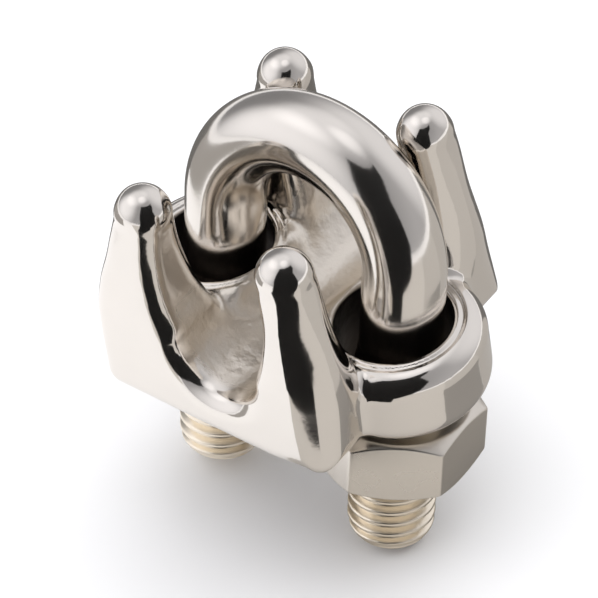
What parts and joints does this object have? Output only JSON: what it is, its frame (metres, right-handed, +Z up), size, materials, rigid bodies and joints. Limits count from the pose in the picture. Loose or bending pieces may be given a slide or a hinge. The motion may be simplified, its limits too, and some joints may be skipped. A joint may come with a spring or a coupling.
{
  "type": "wire rope clip",
  "caption": "Wire rope clip: cast saddle with four upright horns, U-bolt through its leg holes and hexagon nuts below, polished steel.",
  "frame": {"origin": "on the axis of the rope seat, midway along it", "axes": "X from leg to leg, +Y along the rope, +Z up out of the saddle towards the bow"},
  "size_m": [0.0363, 0.0278, 0.0426],
  "materials": {
    "saddle": "polished stainless, cast texture slightly wavy",
    "u_bolt": "polished stainless, cast texture slightly wavy",
    "nuts": "machined, lightly polished"
  },
  "bodies": {
    "saddle": {"saddle": "saddle"},
    "u_bolt": {"u_bolt": "u_bolt"},
    "nut_left": {"nut_left": "nuts"},
    "nut_right": {"nut_right": "nuts"}
  },
  "joints": [
    {"name": "nut_right_turn", "type": "hinge", "parent": "saddle", "child": "nut_right", "pos_m": [0.00955, -0.00137, -0.0133], "axis": [0.0349, 0.1992, 0.9793], "range_deg": [-2304, 1152]},
    {"name": "nut_left_turn", "type": "hinge", "parent": "saddle", "child": "nut_left", "pos_m": [-0.01015, -0.00137, -0.0133], "axis": [0.0349, 0.1992, 0.9793], "range_deg": [-2304, 1152]},
    {"name": "u_bolt_slide", "type": "slide", "parent": "saddle", "child": "u_bolt", "axis": [0.0349, 0.1992, 0.9793], "range_m": [-0.00401, 0.00801]}
  ],
  "couplings": [
    {"joint": "nut_left_turn", "follows": "nut_right_turn", "ratio": 1},
    {"joint": "u_bolt_slide", "follows": "nut_right_turn", "m_per_rad": -0.00019894}
  ]
}
